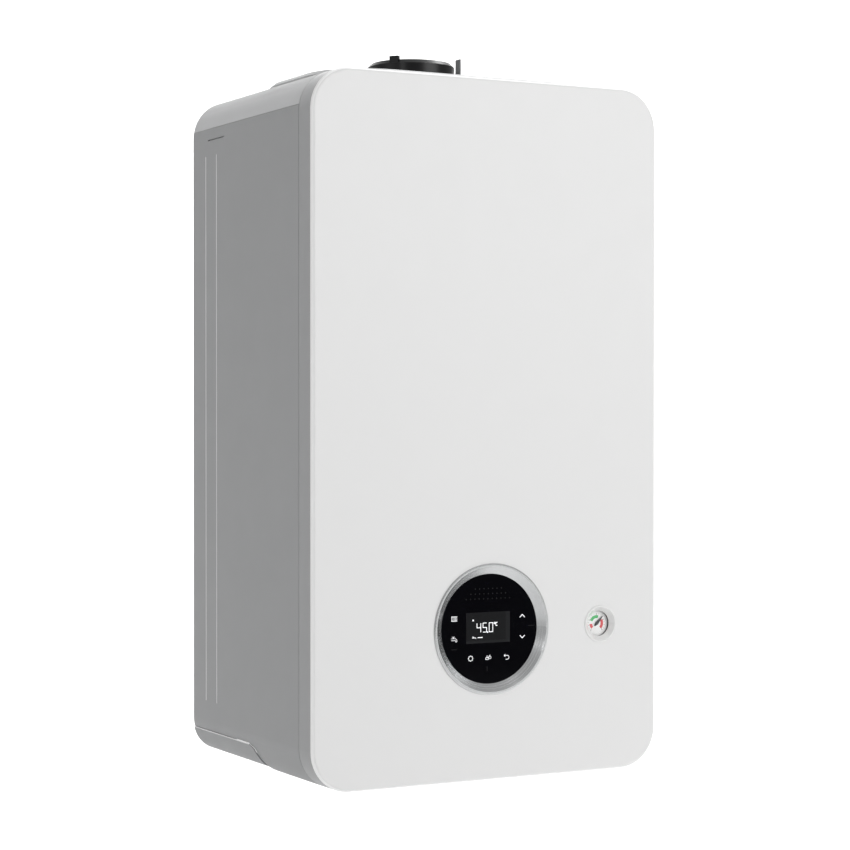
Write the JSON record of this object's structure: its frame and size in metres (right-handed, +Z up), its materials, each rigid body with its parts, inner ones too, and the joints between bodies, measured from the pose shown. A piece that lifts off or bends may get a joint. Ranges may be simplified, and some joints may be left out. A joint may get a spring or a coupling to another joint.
{
  "type": "wall-hung gas boiler",
  "caption": "Wall-hung condensing gas boiler with a flat white front, a round glass control, a small water gauge and a round flue collar on top.",
  "frame": {"origin": "middle of the wall bracket's row of bolt holes, on the wall plane", "axes": "+Z up, the front faces -Y, +Y points into the wall, +X to the right as seen from the front"},
  "size_m": [0.4, 0.3016, 0.756],
  "materials": {
    "white_paint": "smooth white powder coat",
    "side_paint": "light grey powder coat",
    "top_paint": "light grey powder coat",
    "satin_silver": "satin metal trim",
    "white_plastic": "moulded",
    "black_glass": "black printed glass",
    "clear_plastic": "clear",
    "dial_white": "printed dial",
    "needle_black": "painted",
    "display_grey": "display",
    "collar_black": "moulded",
    "flue_plastic": "flue pipe plastic",
    "zinc_steel": "galvanised sheet",
    "dark_steel": "steel",
    "cast_aluminium": "sand cast",
    "stainless": "stainless",
    "ceramic": "glazed ceramic and wire",
    "motor_black": "motor cover",
    "duct_grey": "moulded duct",
    "valve_alloy": "die cast",
    "gas_pipe_steel": "painted pipe",
    "trap_plastic": "moulded trap",
    "hose_grey": "hose",
    "pump_grey": "pump housing",
    "wheel_plastic": "impeller",
    "block_plastic": "composite water block",
    "vessel_red": "painted vessel",
    "copper": "copper pipe",
    "brass": "machined brass",
    "knob_red": "moulded knob",
    "knob_blue": "moulded knob",
    "lever_yellow": "coated lever",
    "box_grey": "control box plastic",
    "board_green": "circuit board",
    "clip_nylon": "nylon clip"
  },
  "bodies": {
    "boiler": {"side_panel_left": "side_paint", "side_panel_right": "side_paint", "rear_corners": "side_paint", "top_cover": "top_paint", "stud_clips": "clip_nylon", "back_frame": "zinc_steel", "wall_bracket": "dark_steel", "bottom_plate": "zinc_steel", "flue_collar": "collar_black", "flue_pipe": "flue_plastic", "fixing_tab": "zinc_steel", "heat_exchanger": "cast_aluminium", "water_coil": "stainless", "burner_door": "cast_aluminium", "door_nuts": "dark_steel", "burner": "stainless", "electrodes": "ceramic", "fan_housing": "valve_alloy", "fan_motor": "motor_black", "mixing_duct": "duct_grey", "venturi": "duct_grey", "gas_valve": "valve_alloy", "gas_pipes": "gas_pipe_steel", "siphon": "trap_plastic", "condensate_hose": "hose_grey", "pump_body": "block_plastic", "pump_motor": "pump_grey", "flow_block": "block_plastic", "return_block": "block_plastic", "plate_exchanger": "stainless", "expansion_vessel": "vessel_red", "water_pipes": "copper", "diverter_motor": "motor_black", "relief_valve": "brass", "air_vent": "brass", "filling_valve": "brass", "pipe_valves": "brass"},
    "front_panel": {"front_panel": "white_paint", "bezel_ring": "satin_silver", "gauge_surround": "white_plastic"},
    "control_box": {"control_box": "box_grey", "box_cover": "box_grey", "main_board": "board_green", "display_board": "board_green", "display": "display_grey", "glass": "black_glass", "gauge_body": "needle_black", "gauge_dial": "dial_white", "gauge_lens": "clear_plastic"},
    "needle": {"gauge_needle": "needle_black"},
    "fan_wheel": {"fan_wheel": "wheel_plastic"},
    "pump_wheel": {"pump_wheel": "wheel_plastic"},
    "diverter": {"diverter_spindle": "stainless"},
    "relief_knob": {"relief_knob": "knob_red"},
    "filling_knob": {"filling_knob": "knob_blue"},
    "flow_lever": {"flow_lever": "knob_red"},
    "gas_lever": {"gas_lever": "lever_yellow"},
    "back_lever": {"back_lever": "knob_blue"},
    "vent_cap": {"vent_cap": "needle_black"}
  },
  "joints": [
    {"name": "panel_slide", "type": "slide", "parent": "boiler", "child": "front_panel", "axis": [0, -1, 0], "range_m": [0, 0.4]},
    {"name": "box_tilt", "type": "hinge", "parent": "boiler", "child": "control_box", "pos_m": [0, -0.246, -0.566], "axis": [1, 0, 0], "range_deg": [0, 80]},
    {"name": "needle_swing", "type": "hinge", "parent": "control_box", "child": "needle", "pos_m": [0.131, -0.293, -0.4775], "axis": [0, -1, 0], "range_deg": [-90, 180]},
    {"name": "fan_spin", "type": "hinge", "parent": "boiler", "child": "fan_wheel", "pos_m": [0.14, -0.23, -0.055], "axis": [0, 1, 0], "continuous": true},
    {"name": "pump_spin", "type": "hinge", "parent": "boiler", "child": "pump_wheel", "pos_m": [0.118, -0.15, -0.502], "axis": [0, 1, 0], "continuous": true},
    {"name": "diverter_travel", "type": "slide", "parent": "boiler", "child": "diverter", "axis": [0, 0, 1], "range_m": [0, 0.008]},
    {"name": "relief_turn", "type": "hinge", "parent": "boiler", "child": "relief_knob", "pos_m": [0.084, -0.2, -0.562], "axis": [0, -1, 0], "range_deg": [0, 90]},
    {"name": "filling_turn", "type": "hinge", "parent": "boiler", "child": "filling_knob", "pos_m": [-0.03, -0.178, -0.59], "axis": [0, 0, 1], "range_deg": [0, 90]},
    {"name": "flow_valve_turn", "type": "hinge", "parent": "boiler", "child": "flow_lever", "pos_m": [-0.13, -0.145, -0.596], "axis": [0, -1, 0], "range_deg": [0, 90]},
    {"name": "gas_valve_turn", "type": "hinge", "parent": "boiler", "child": "gas_lever", "pos_m": [0, -0.145, -0.596], "axis": [0, -1, 0], "range_deg": [0, 90]},
    {"name": "return_valve_turn", "type": "hinge", "parent": "boiler", "child": "back_lever", "pos_m": [0.13, -0.145, -0.596], "axis": [0, -1, 0], "range_deg": [0, 90]},
    {"name": "vent_turn", "type": "hinge", "parent": "boiler", "child": "vent_cap", "pos_m": [-0.108, -0.165, -0.19], "axis": [0, 0, 1], "range_deg": [0, 90]}
  ],
  "couplings": [
    {"joint": "box_tilt", "follows": "panel_slide", "rad_per_m": 3.49}
  ]
}
